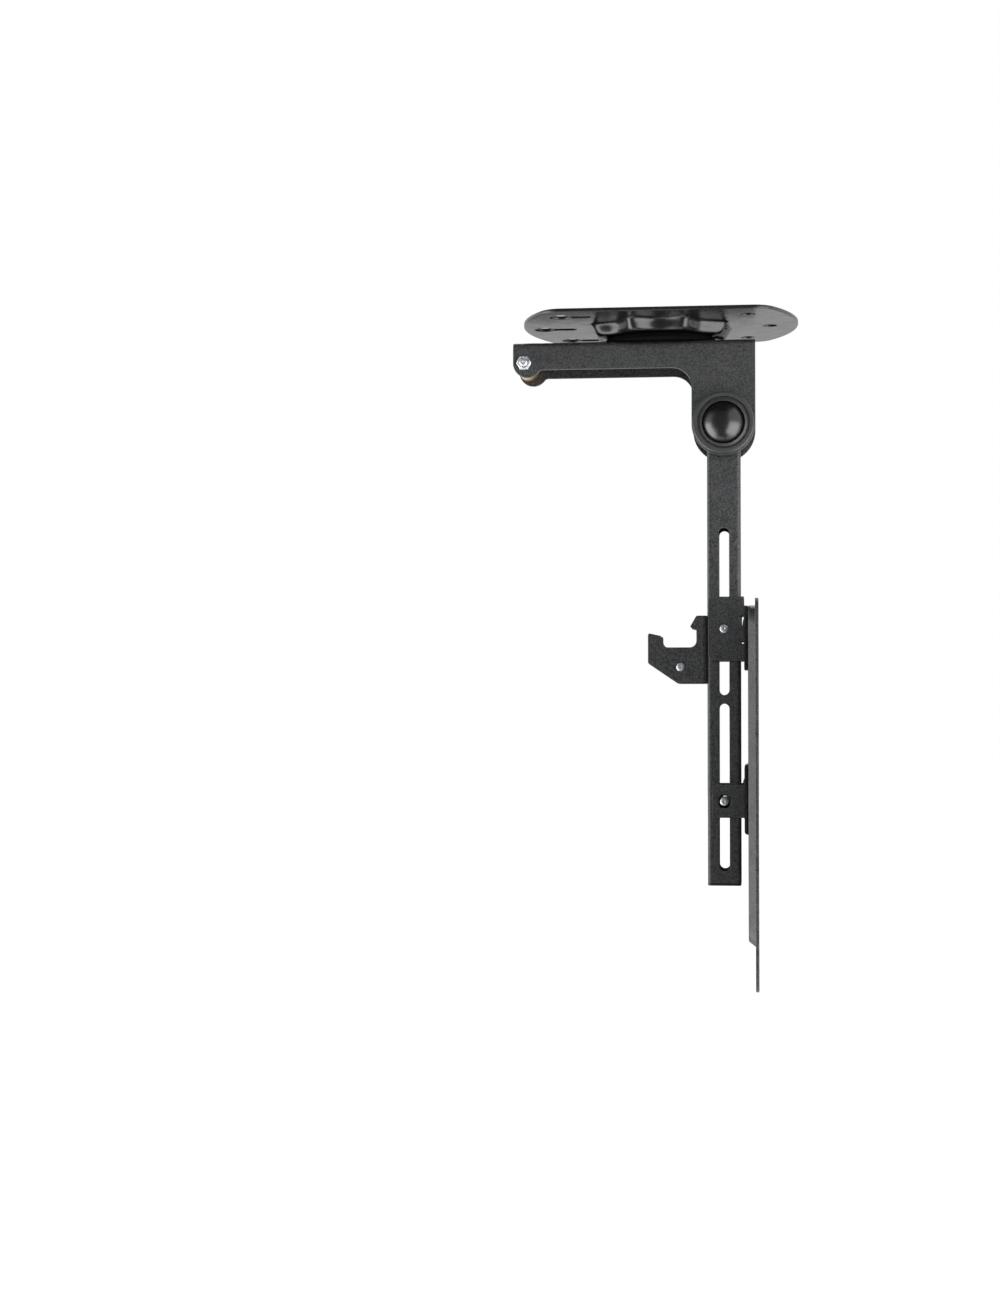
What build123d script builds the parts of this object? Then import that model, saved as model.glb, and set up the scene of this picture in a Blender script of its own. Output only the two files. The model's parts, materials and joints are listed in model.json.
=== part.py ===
"""Flip-down ceiling mount for a small screen: ceiling plate, folding arm, slotted post and screen plate.

Millimetres. The origin is the centre of the ceiling plate's upper face, on the swivel axis.
+Z is up, +X points from the latch end of the arm to its pivot end, +Y runs along the pivot axis.
"""

import os
from math import atan2, cos, pi, radians, sin, sqrt, tan

from build123d import *

# Ceiling plate
plate_length = 166.0
plate_width = 122.0
plate_bulge = 20.0
plate_corner_r = 14.0
plate_t = 2.0
plate_edge_r = 0.6
dish_lobes = 8
dish_rim_r = 40.0
dish_draw = 3.0
dish_rim_wave = 4.0
dish_floor_wave = 3.0
dish_round = 1.6
dish_lip = 0.6
keyhole_d = 13.0
keyhole_slot_w = 6.5
keyhole_travel = 16.4
keyhole_mid_inset = 12.3
keyhole_side_inset = 25.7
screw_hole_d = 8.6
screw_hole_mid_inset = 16.8
screw_hole_side_inset = 30.3
screw_row_spacing = 84.0

# Swivel
swivel_bolt_d = 10.0
swivel_head_af = 17.0
swivel_head_h = 6.4
swivel_head_recess = 0.8
swivel_disc_d = 60.0
swivel_disc_t = 3.6
swivel_washer_margin = 4.0
swivel_washer_t = 2.0
swivel_nut_h = 6.0

# Folding arm
arm_t = 2.5
arm_inner_bend_r = 0.7
arm_edge_r = 0.5
arm_length = 126.4
arm_bar_h = 16.5
leg_r = 19.0
leg_corner_r = 12.0
lobe_r = 8.7
lobe_neck_r = 3.0
pivot_x = 38.2
pivot_drop = 50.5
latch_inset = 6.7
latch_drop = 12.4

# Latch crossbar
latch_bolt_d = 5.0
latch_head_af = 8.0
latch_head_h = 3.5
latch_nut_h = 4.0
latch_sleeve_d = 12.5

# Pivot
pivot_bolt_d = 8.0
pivot_head_af = 13.0
pivot_head_h = 5.3
pivot_nut_h = 6.0
pivot_washer_margin = 3.0
pivot_washer_t = 1.6
pivot_bush_wall = 3.0
friction_washer_t = 2.4
friction_washer_inset = 3.0
ring_inset = 0.7
ring_h = 6.0
ring_edge_r = 1.5
ring_groove_w = 1.0
ring_groove_depth = 1.2
ring_funnel = 1.2
cap_side_gap = 2.8
cap_end_gap = 2.2
cap_wall = 1.6
cap_recess = 1.4

# Post
post_w = 20.0
post_d = 30.0
post_t = 1.5
post_inner_corner_r = 0.9
post_above = 14.0
slot_length = 100.2
slot_a_drop = 62.0
slot_bridge = 5.2
post_foot = 6.6
end_cap_t = 1.8
end_cap_plug = 5.5
end_cap_wall = 2.0

# Latch hook
hook_t = 2.5
hook_inner_bend_r = 0.5
hook_edge_r = 0.4
hook_lead = 5.1
hook_height = 40.8
hook_prong_w = 8.1
hook_prong_slope = 1.8
hook_mouth_depth = 19.0
hook_throat_w = 6.5
hook_beak = 4.0
hook_beak_drop = 7.0
hook_beak_h = 1.2
hook_beak_tip_r = 0.8
hook_beak_top_r = 1.6
hook_floor_r = 4.0
hook_prong_r = 1.2
hook_corner_r = 2.0
hook_corner_cut_x = 17.9
hook_corner_cut_z = 12.2
hook_bolt_out = 16.0
hook_bolt_rise = 10.0
hook_spacer_d = 9.0

# Clamp brackets and their bolts
clamp_t = 2.0
clamp_inner_bend_r = 0.6
web_setback = 0.3
clamp_bolt_d = 5.0
clamp_head_af = 8.0
clamp_head_h = 3.5
clamp_washer_d = 10.0
clamp_washer_t = 1.2
clamp_bolt_tail = 1.2
upper_bolt_drop = 60.6
lower_bolt_drop = 58.2
upper_cheek_h = 38.4
upper_cheek_reach = 9.3
upper_web_h = 38.4
upper_web_drop = 5.4
upper_corner_top_r = 2.0
upper_corner_foot_r = 4.5
upper_web_r = 0.6
lower_cheek_h = 19.6
lower_cheek_reach = 7.1
lower_web_h = 41.6
lower_web_drop = -1.0
lower_corner_top_r = 3.4
lower_corner_foot_r = 1.6
lower_web_r = 2.0
lower_hole_d = 8.4
relief_slit_h = 6.0
relief_slit_w = 1.1
relief_slit_rise = 5.2
relief_hole_d = 1.6
relief_hole_drop = 8.2
rivet_d = 5.0
rivet_head_d = 9.0
rivet_head_h = 1.3
rivet_spacing = 16.0

# Screen plate
screen_t = 2.0
screen_corner_r = 12.0
screen_edge_r = 0.5
screen_margin = 10.0
small_pattern = 75.0
middle_pattern = 100.0
large_pattern = 200.0
small_hole_d = 5.0
large_hole_d = 6.6
pan_depth = 4.2
pan_taper = 38.0
pan_bend_r = 1.4
pan_corner_r = 12.0
pan_side_margin = 6.5
pan_top_margin = 0.8
pan_bottom_margin = 16.4
notch_spacing = 75.4
notch_h = 8.5
notch_depth = 4.0
notch_r = 1.5

# Clearances
running_gap = 0.05
thrust_gap = 0.1
slip_gap = 0.3
bolt_gap = 0.2
slot_side_gap = 0.6
hook_web_gap = 2.5
hook_prong_gap = 0.8
rivet_post_gap = 0.9

# Levels and planes that several pieces share; drops and heights below the arm are from the pivot
dish_depth = swivel_head_h + swivel_head_recess
dish_floor_z = -plate_t - dish_depth
arm_top_z = dish_floor_z - thrust_gap - swivel_disc_t
arm_web_z = arm_top_z - arm_t
pivot_z = arm_top_z - pivot_drop
post_half = post_d / 2
arm_inner_half = post_half + thrust_gap + friction_washer_t
arm_half = arm_inner_half + arm_t
latch_back = arm_length - latch_inset
latch_z = pivot_drop - latch_drop
slot_w = clamp_bolt_d + 2 * slot_side_gap
slot_b_drop = slot_a_drop + slot_length + slot_bridge
post_below = slot_b_drop + slot_length + post_foot
upper_bolt_z = -slot_a_drop - upper_bolt_drop
lower_bolt_z = -slot_b_drop - lower_bolt_drop
clamp_inner_half = post_half + slip_gap
clamp_half = clamp_inner_half + clamp_t
clamp_web_x = post_w / 2 + rivet_post_gap + rivet_head_h
pan_back_x = clamp_web_x + clamp_t
screen_back_x = pan_back_x + pan_depth
side_view = Plane(origin=(pivot_x, 0, pivot_z), x_dir=(1, 0, 0), z_dir=(0, -1, 0))
above_view = Plane(origin=(pivot_x, 0, pivot_z), x_dir=(1, 0, 0), z_dir=(0, 0, 1))
screen_view = Plane(origin=(pivot_x, 0, pivot_z), x_dir=(0, 1, 0), z_dir=(1, 0, 0))


def flower(radius, wave):
    """Add a closed wavy outline: lobes halfway between the axes, dips on them."""
    steps = 2 * dish_lobes
    reaches = (radius - wave, radius + wave)
    points = [
        (reaches[k % 2] * cos(2 * pi * k / steps), reaches[k % 2] * sin(2 * pi * k / steps))
        for k in range(steps)
    ]
    with BuildLine() as outline:
        Spline(*points, periodic=True)
    make_face(outline.edges())


def side_disc(x, z, y_from, y_to, radius, mode=Mode.ADD):
    """Add or cut a disc along Y; x and z are measured from the pivot."""
    with BuildSketch(side_view.offset(-y_from)) as profile:
        with Locations((x, z)):
            Circle(radius)
    extrude(profile.sketch, amount=y_from - y_to, mode=mode)


def side_hexagon(x, z, y_from, y_to, across_flats):
    """Add a hexagon along Y; x and z are measured from the pivot."""
    with BuildSketch(side_view.offset(-y_from)) as profile:
        with Locations((x, z)):
            RegularPolygon(across_flats / 2, 6, major_radius=False)
    extrude(profile.sketch, amount=y_from - y_to)


def keep(piece, name):
    """Label a finished piece and write it."""
    piece.part.label = name
    export_step(piece.part, f"parts/{name}.step")


os.makedirs("parts", exist_ok=True)

# Ceiling plate: one pressed sheet with bulged ends and a lobed dish
plate_end = plate_length / 2
plate_side = plate_width / 2
plate_straight = plate_end - plate_bulge
screw_row_y = screw_row_spacing / 2
dish_floor_r = dish_rim_r - dish_draw
dish_slope = atan2(dish_draw, dish_depth)
dish_sheet = plate_t / cos(dish_slope) - plate_t * tan(dish_slope)
dish_sections = (
    (-plate_t, dish_rim_r + dish_round, dish_rim_wave),
    (-plate_t - dish_lip, dish_rim_r, dish_rim_wave),
    (-plate_t - dish_depth / 2, dish_rim_r - dish_draw / 2, (dish_rim_wave + dish_floor_wave) / 2),
    (dish_floor_z + dish_lip, dish_floor_r, dish_floor_wave),
    (dish_floor_z, dish_floor_r - dish_round, dish_floor_wave),
)
keyholes = (
    (keyhole_mid_inset - plate_end, 0),
    (keyhole_side_inset - plate_end, -screw_row_y),
    (keyhole_side_inset - plate_end, screw_row_y),
)
screw_holes = (
    (plate_end - screw_hole_mid_inset, 0),
    (plate_end - screw_hole_side_inset, -screw_row_y),
    (plate_end - screw_hole_side_inset, screw_row_y),
)

with BuildPart() as ceiling_plate:
    with BuildSketch(Plane.XY.offset(-plate_t)) as plate_outline:
        with BuildLine():
            Line((-plate_straight, -plate_side), (plate_straight, -plate_side))
            ThreePointArc((plate_straight, -plate_side), (plate_end, 0), (plate_straight, plate_side))
            Line((plate_straight, plate_side), (-plate_straight, plate_side))
            ThreePointArc((-plate_straight, plate_side), (-plate_end, 0), (-plate_straight, -plate_side))
        make_face()
        fillet(plate_outline.vertices(), radius=plate_corner_r)
    extrude(amount=plate_t)
    fillet(ceiling_plate.edges().group_by(Axis.Z)[0], radius=plate_edge_r)
    for z, radius, wave in dish_sections:
        with BuildSketch(Plane.XY.offset(z)):
            flower(radius, wave)
    loft()
    for z, radius, wave in dish_sections:
        with BuildSketch(Plane.XY.offset(z + plate_t)):
            flower(radius - dish_sheet, wave)
    loft(mode=Mode.SUBTRACT)
    with BuildSketch(Plane.XY.offset(-plate_t)):
        for x, y in keyholes:
            with Locations((x, y)):
                Circle(keyhole_d / 2)
            with Locations((x + keyhole_travel / 2, y)):
                SlotCenterToCenter(keyhole_travel, keyhole_slot_w)
        with Locations(*screw_holes):
            Circle(screw_hole_d / 2)
    extrude(amount=plate_t, mode=Mode.SUBTRACT)
    with BuildSketch(Plane.XY.offset(dish_floor_z)):
        Circle(swivel_bolt_d / 2 + bolt_gap)
    extrude(amount=plate_t, mode=Mode.SUBTRACT)
keep(ceiling_plate, "ceiling_plate")

# Swivel: a bolt through the dish, a friction disc on the arm, a washer and a nut under the arm's web
swivel_washer_r = (swivel_head_af + swivel_washer_margin) / 2
swivel_washer_z = arm_web_z - thrust_gap - swivel_washer_t
swivel_nut_z = swivel_washer_z - swivel_nut_h

with BuildPart() as swivel_bolt:
    with BuildSketch(Plane.XY.offset(dish_floor_z + plate_t)):
        RegularPolygon(swivel_head_af / 2, 6, major_radius=False)
    extrude(amount=swivel_head_h)
    with BuildSketch(Plane.XY.offset(dish_floor_z + plate_t)):
        Circle(swivel_bolt_d / 2)
    extrude(amount=swivel_nut_z - dish_floor_z - plate_t)
    chamfer(swivel_bolt.edges().group_by(Axis.Z)[0], length=swivel_bolt_d / 10)
keep(swivel_bolt, "swivel_bolt")

with BuildPart() as swivel_disc:
    with BuildSketch(Plane.XY.offset(arm_top_z)):
        Circle(swivel_disc_d / 2)
        Circle(swivel_bolt_d / 2 + running_gap, mode=Mode.SUBTRACT)
    extrude(amount=swivel_disc_t)
keep(swivel_disc, "swivel_disc")

with BuildPart() as swivel_washer:
    with BuildSketch(Plane.XY.offset(swivel_washer_z)):
        Circle(swivel_washer_r)
        Circle(swivel_bolt_d / 2 + running_gap, mode=Mode.SUBTRACT)
    extrude(amount=swivel_washer_t)
keep(swivel_washer, "swivel_washer")

with BuildPart() as swivel_nut:
    with BuildSketch(Plane.XY.offset(swivel_nut_z)):
        RegularPolygon(swivel_head_af / 2, 6, major_radius=False)
        Circle(swivel_bolt_d / 2 + running_gap, mode=Mode.SUBTRACT)
    extrude(amount=swivel_nut_h)
keep(swivel_nut, "swivel_nut")

# Folding arm: web on top, an L-shaped cheek on each side
bar_bottom = pivot_drop - arm_bar_h
lobe_x = lobe_r - arm_length
lobe_side = sqrt(lobe_r**2 - (latch_z - bar_bottom) ** 2)
lobe_neck = (lobe_x + lobe_side, bar_bottom)
leg_corner = (-leg_r, bar_bottom)

with BuildPart() as folding_arm:
    with BuildSketch(side_view) as arm_outline:
        with BuildLine():
            Polyline((-arm_length, latch_z), (-arm_length, pivot_drop), (leg_r, pivot_drop), (leg_r, 0))
            ThreePointArc((leg_r, 0), (0, -leg_r), (-leg_r, 0))
            Polyline((-leg_r, 0), leg_corner, lobe_neck)
            ThreePointArc(lobe_neck, (lobe_x, latch_z - lobe_r), (-arm_length, latch_z))
        make_face()
        fillet(arm_outline.vertices().sort_by_distance(leg_corner)[0], radius=leg_corner_r)
        fillet(arm_outline.vertices().sort_by_distance(lobe_neck)[0], radius=lobe_neck_r)
    extrude(amount=arm_half, both=True)
    fillet(folding_arm.edges().filter_by(Axis.X).group_by(Axis.Z)[-1], radius=arm_inner_bend_r + arm_t)
    arm_near_edges = folding_arm.edges().group_by(Axis.Y)[0].sort_by(Axis.Z)[:-1]
    arm_far_edges = folding_arm.edges().group_by(Axis.Y)[-1].sort_by(Axis.Z)[:-1]
    fillet(arm_near_edges + arm_far_edges, radius=arm_edge_r)
    with BuildSketch(Plane.YZ.offset(pivot_x - arm_length)) as channel:
        with Locations((0, arm_web_z)):
            Rectangle(2 * arm_inner_half, pivot_drop + leg_r, align=(Align.CENTER, Align.MAX))
        fillet(channel.vertices().group_by(Axis.Y)[-1], radius=arm_inner_bend_r)
    extrude(amount=arm_length + leg_r, mode=Mode.SUBTRACT)
    with BuildSketch(Plane.XY.offset(arm_web_z)):
        Circle(swivel_bolt_d / 2 + running_gap)
    extrude(amount=arm_t, mode=Mode.SUBTRACT)
    side_disc(0, 0, -arm_half, arm_half, pivot_bolt_d / 2 + bolt_gap, Mode.SUBTRACT)
    side_disc(-latch_back, latch_z, -arm_half, arm_half, latch_bolt_d / 2 + bolt_gap, Mode.SUBTRACT)
keep(folding_arm, "folding_arm")

# Latch crossbar: sleeve between the cheeks, bolt from the far side, nut on the near side
latch_bore_r = latch_bolt_d / 2 + bolt_gap
latch_nut_y = -arm_half - latch_nut_h
latch_bolt_end = latch_nut_y - latch_bolt_d / 5

with BuildPart() as latch_sleeve:
    side_disc(-latch_back, latch_z, -arm_inner_half, arm_inner_half, latch_sleeve_d / 2)
    side_disc(-latch_back, latch_z, -arm_inner_half, arm_inner_half, latch_bore_r, Mode.SUBTRACT)
keep(latch_sleeve, "latch_sleeve")

with BuildPart() as latch_bolt:
    side_hexagon(-latch_back, latch_z, arm_half, arm_half + latch_head_h, latch_head_af)
    side_disc(-latch_back, latch_z, latch_bolt_end, arm_half, latch_bolt_d / 2)
    chamfer(latch_bolt.edges().group_by(Axis.Y)[0], length=latch_bolt_d / 10)
keep(latch_bolt, "latch_bolt")

with BuildPart() as latch_nut:
    side_hexagon(-latch_back, latch_z, latch_nut_y, -arm_half, latch_head_af)
    side_disc(-latch_back, latch_z, latch_nut_y, -arm_half, latch_bolt_d / 2 + running_gap, Mode.SUBTRACT)
keep(latch_nut, "latch_nut")

# Pivot: bolt from the far side, nut on the near side, a washer under each
pivot_washer_r = (pivot_head_af + pivot_washer_margin) / 2
pivot_seat = arm_half + pivot_washer_t
pivot_nut_y = -pivot_seat - pivot_nut_h
pivot_bolt_end = pivot_nut_y - pivot_bolt_d / 8

with BuildPart() as pivot_bolt:
    side_hexagon(0, 0, pivot_seat, pivot_seat + pivot_head_h, pivot_head_af)
    side_disc(0, 0, pivot_bolt_end, pivot_seat, pivot_bolt_d / 2)
    chamfer(pivot_bolt.edges().group_by(Axis.Y)[0], length=pivot_bolt_d / 10)
keep(pivot_bolt, "pivot_bolt")

with BuildPart() as pivot_nut:
    side_hexagon(0, 0, pivot_nut_y, -pivot_seat, pivot_head_af)
    side_disc(0, 0, pivot_nut_y, -pivot_seat, pivot_bolt_d / 2 + running_gap, Mode.SUBTRACT)
keep(pivot_nut, "pivot_nut")

with BuildPart() as pivot_washers:
    for side in (-1, 1):
        side_disc(0, 0, side * arm_half, side * pivot_seat, pivot_washer_r)
    side_disc(0, 0, -pivot_seat, pivot_seat, pivot_bolt_d / 2 + bolt_gap, Mode.SUBTRACT)
keep(pivot_washers, "pivot_washers")

# Friction washers between the post and the cheeks, around the post's bush
pivot_bush_r = pivot_bolt_d / 2 + pivot_bush_wall

with BuildPart() as friction_washers:
    for side in (-1, 1):
        side_disc(0, 0, side * (post_half + thrust_gap), side * arm_inner_half, leg_r - friction_washer_inset)
    side_disc(0, 0, -arm_inner_half, arm_inner_half, pivot_bush_r + running_gap, Mode.SUBTRACT)
keep(friction_washers, "friction_washers")

with BuildPart() as pivot_bush:
    side_disc(0, 0, thrust_gap - arm_inner_half, arm_inner_half - thrust_gap, pivot_bush_r)
    side_disc(0, 0, -arm_inner_half, arm_inner_half, pivot_bolt_d / 2 + running_gap, Mode.SUBTRACT)
keep(pivot_bush, "pivot_bush")

# Pivot covers: a grooved ring and a domed cap over the hardware on each side
ring_r = leg_r - ring_inset
cap_bore_r = pivot_washer_r + cap_side_gap
cap_r = cap_bore_r + cap_wall
cap_rim = ring_h - cap_recess
cap_top = -pivot_bolt_end - arm_half + cap_end_gap + cap_wall
dome_h = cap_top - cap_rim
dome_r = (cap_r**2 + dome_h**2) / (2 * dome_h)
dome_inner_r = dome_r - cap_wall
dome_inner_rim = cap_top - dome_r + sqrt(dome_inner_r**2 - cap_bore_r**2)
ring_bore_r = cap_r + slip_gap
ring_lip = ring_h - ring_funnel
groove_in = (ring_bore_r + ring_r - ring_groove_w) / 2
groove_out = groove_in + ring_groove_w

for side, side_name in ((-1, "near"), (1, "far")):
    cover_plane = Plane(origin=(pivot_x, side * arm_half, pivot_z), x_dir=(1, 0, 0), z_dir=(0, 0, side))
    cover_axis = Axis((pivot_x, side * arm_half, pivot_z), (0, side, 0))

    with BuildPart() as pivot_ring:
        with BuildSketch(cover_plane) as ring_profile:
            with BuildLine():
                Polyline((ring_bore_r, ring_lip), (ring_bore_r, 0), (ring_r, 0), (ring_r, ring_h))
                Polyline((ring_r, ring_h), (groove_out, ring_h), (groove_out, ring_h - ring_groove_depth))
                Line((groove_out, ring_h - ring_groove_depth), (groove_in, ring_h - ring_groove_depth))
                Line((groove_in, ring_h - ring_groove_depth), (groove_in, ring_h))
                Line((groove_in, ring_h), (ring_bore_r, ring_lip))
            make_face()
            fillet(ring_profile.vertices().sort_by_distance((ring_r, ring_h))[0], radius=ring_edge_r)
        revolve(axis=cover_axis)
    keep(pivot_ring, f"{side_name}_pivot_ring")

    with BuildPart() as pivot_cap:
        with BuildSketch(cover_plane):
            with BuildLine():
                Polyline((cap_bore_r, dome_inner_rim), (cap_bore_r, 0), (cap_r, 0), (cap_r, cap_rim))
                RadiusArc((cap_r, cap_rim), (0, cap_top), -dome_r)
                Line((0, cap_top), (0, cap_top - cap_wall))
                RadiusArc((0, cap_top - cap_wall), (cap_bore_r, dome_inner_rim), dome_inner_r)
            make_face()
        revolve(axis=cover_axis)
    keep(pivot_cap, f"{side_name}_pivot_cap")

# Post: tube with two slots in line through both walls and a plug at the lower end
post_corner_r = post_inner_corner_r + post_t
bore_w = post_w - 2 * post_t
bore_d = post_d - 2 * post_t
plug_w = bore_w - 2 * bolt_gap
plug_d = bore_d - 2 * bolt_gap

with BuildPart() as post_tube:
    with BuildSketch(above_view.offset(-post_below)):
        RectangleRounded(post_w, post_d, post_corner_r)
        RectangleRounded(bore_w, bore_d, post_inner_corner_r, mode=Mode.SUBTRACT)
    extrude(amount=post_below + post_above)
    with BuildSketch(side_view):
        with Locations((0, -slot_a_drop - slot_length / 2), (0, -slot_b_drop - slot_length / 2)):
            SlotOverall(slot_length, slot_w, rotation=90)
        Circle(pivot_bush_r + running_gap)
    extrude(amount=post_half, both=True, mode=Mode.SUBTRACT)
keep(post_tube, "post_tube")

with BuildPart() as post_end_cap:
    with BuildSketch(above_view.offset(-post_below - end_cap_t)):
        RectangleRounded(post_w, post_d, post_corner_r)
    extrude(amount=end_cap_t)
    with BuildSketch(above_view.offset(-post_below)):
        RectangleRounded(plug_w, plug_d, post_inner_corner_r)
        Rectangle(plug_w - 2 * end_cap_wall, plug_d - 2 * end_cap_wall, mode=Mode.SUBTRACT)
    extrude(amount=end_cap_plug)
    fillet(post_end_cap.edges().group_by(Axis.Z)[0], radius=end_cap_t / 3)
keep(post_end_cap, "post_end_cap")

# Latch hook: two hooked cheeks and the web that is welded to the post; the mouth passes the latch sleeve
hook_back = post_w / 2
hook_throat = hook_back + hook_throat_w
hook_beak_x = hook_throat + hook_beak
hook_reach = pivot_drop - arm_t - hook_web_gap
hook_prong_x = hook_reach - hook_prong_w
hook_top = hook_lead - latch_back
hook_bottom = hook_top - hook_height
hook_floor = hook_top - hook_mouth_depth
hook_beak_z = hook_top - hook_beak_drop
hook_prong_z = -latch_back - latch_sleeve_d / 2 - hook_prong_gap
hook_bolt_x = -hook_back - hook_bolt_out
hook_bolt_z = hook_bottom + hook_bolt_rise
hook_inner_half = post_half - hook_t
hook_bore_r = clamp_bolt_d / 2 + bolt_gap
hook_corners = (
    ((-hook_throat, hook_top), hook_beak_top_r),
    ((-hook_beak_x, hook_beak_z), hook_beak_tip_r),
    ((-hook_throat, hook_floor), hook_floor_r),
    ((-hook_prong_x, hook_floor), hook_floor_r),
    ((-hook_prong_x, hook_prong_z), hook_prong_r),
    ((-hook_reach, hook_prong_z + hook_prong_slope), hook_prong_r),
    ((-hook_reach, hook_bottom + hook_corner_cut_z), hook_corner_r),
    ((-hook_reach + hook_corner_cut_x, hook_bottom), hook_corner_r),
)

with BuildPart() as latch_hook:
    with BuildSketch(side_view) as hook_outline:
        with BuildLine():
            Polyline(
                (-hook_back, hook_top),
                (-hook_throat, hook_top),
                (-hook_beak_x, hook_beak_z),
                (-hook_throat, hook_beak_z - hook_beak_h),
                (-hook_throat, hook_floor),
                (-hook_prong_x, hook_floor),
                (-hook_prong_x, hook_prong_z),
                (-hook_reach, hook_prong_z + hook_prong_slope),
                (-hook_reach, hook_bottom + hook_corner_cut_z),
                (-hook_reach + hook_corner_cut_x, hook_bottom),
                (-hook_back, hook_bottom),
                close=True,
            )
        make_face()
        for corner, corner_r in hook_corners:
            fillet(hook_outline.vertices().sort_by_distance(corner)[0], radius=corner_r)
    extrude(amount=post_half, both=True)
    fillet(latch_hook.edges().filter_by(Axis.Z).group_by(Axis.X)[-1], radius=hook_inner_bend_r + hook_t)
    hook_near_edges = latch_hook.edges().group_by(Axis.Y)[0].sort_by(Axis.X)[:-1]
    hook_far_edges = latch_hook.edges().group_by(Axis.Y)[-1].sort_by(Axis.X)[:-1]
    fillet(hook_near_edges + hook_far_edges, radius=hook_edge_r)
    with BuildSketch(above_view.offset(hook_bottom)) as hook_gap:
        with Locations((-hook_back - hook_t, 0)):
            Rectangle(hook_reach, 2 * hook_inner_half, align=(Align.MAX, Align.CENTER))
        fillet(hook_gap.vertices().group_by(Axis.X)[-1], radius=hook_inner_bend_r)
    extrude(amount=hook_height, mode=Mode.SUBTRACT)
    side_disc(hook_bolt_x, hook_bolt_z, -post_half, post_half, hook_bore_r, Mode.SUBTRACT)
keep(latch_hook, "latch_hook")

with BuildPart() as hook_spacer:
    side_disc(hook_bolt_x, hook_bolt_z, -hook_inner_half, hook_inner_half, hook_spacer_d / 2)
    side_disc(hook_bolt_x, hook_bolt_z, -hook_inner_half, hook_inner_half, hook_bore_r, Mode.SUBTRACT)
keep(hook_spacer, "hook_spacer")

with BuildPart() as hook_bolt:
    side_hexagon(hook_bolt_x, hook_bolt_z, post_half, post_half + clamp_head_h, clamp_head_af)
    side_disc(hook_bolt_x, hook_bolt_z, -post_half - clamp_bolt_tail, post_half, clamp_bolt_d / 2)
    chamfer(hook_bolt.edges().group_by(Axis.Y)[0], length=clamp_bolt_d / 10)
keep(hook_bolt, "hook_bolt")

# Clamp brackets: folded cheeks beside the post, a web riveted to the screen plate's pan
upper_web_z = upper_bolt_z - upper_web_drop
lower_web_z = lower_bolt_z - lower_web_drop
clamps = (
    ("upper", upper_bolt_z, upper_cheek_h, upper_cheek_reach, upper_web_z, upper_web_h),
    ("lower", lower_bolt_z, lower_cheek_h, lower_cheek_reach, lower_web_z, lower_web_h),
)
clamp_corners = {
    "upper": (upper_corner_foot_r, upper_corner_top_r, upper_web_r),
    "lower": (lower_corner_foot_r, lower_corner_top_r, lower_web_r),
}
clamp_bend_r = clamp_inner_bend_r + clamp_t
web_side_w = clamp_bend_r - web_setback
clamp_fold_x = pan_back_x - web_side_w
clamp_seat = clamp_half + clamp_washer_t
clamp_bore_r = clamp_bolt_d / 2 + bolt_gap
relief_x = (post_w / 2 + clamp_web_x) / 2

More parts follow.
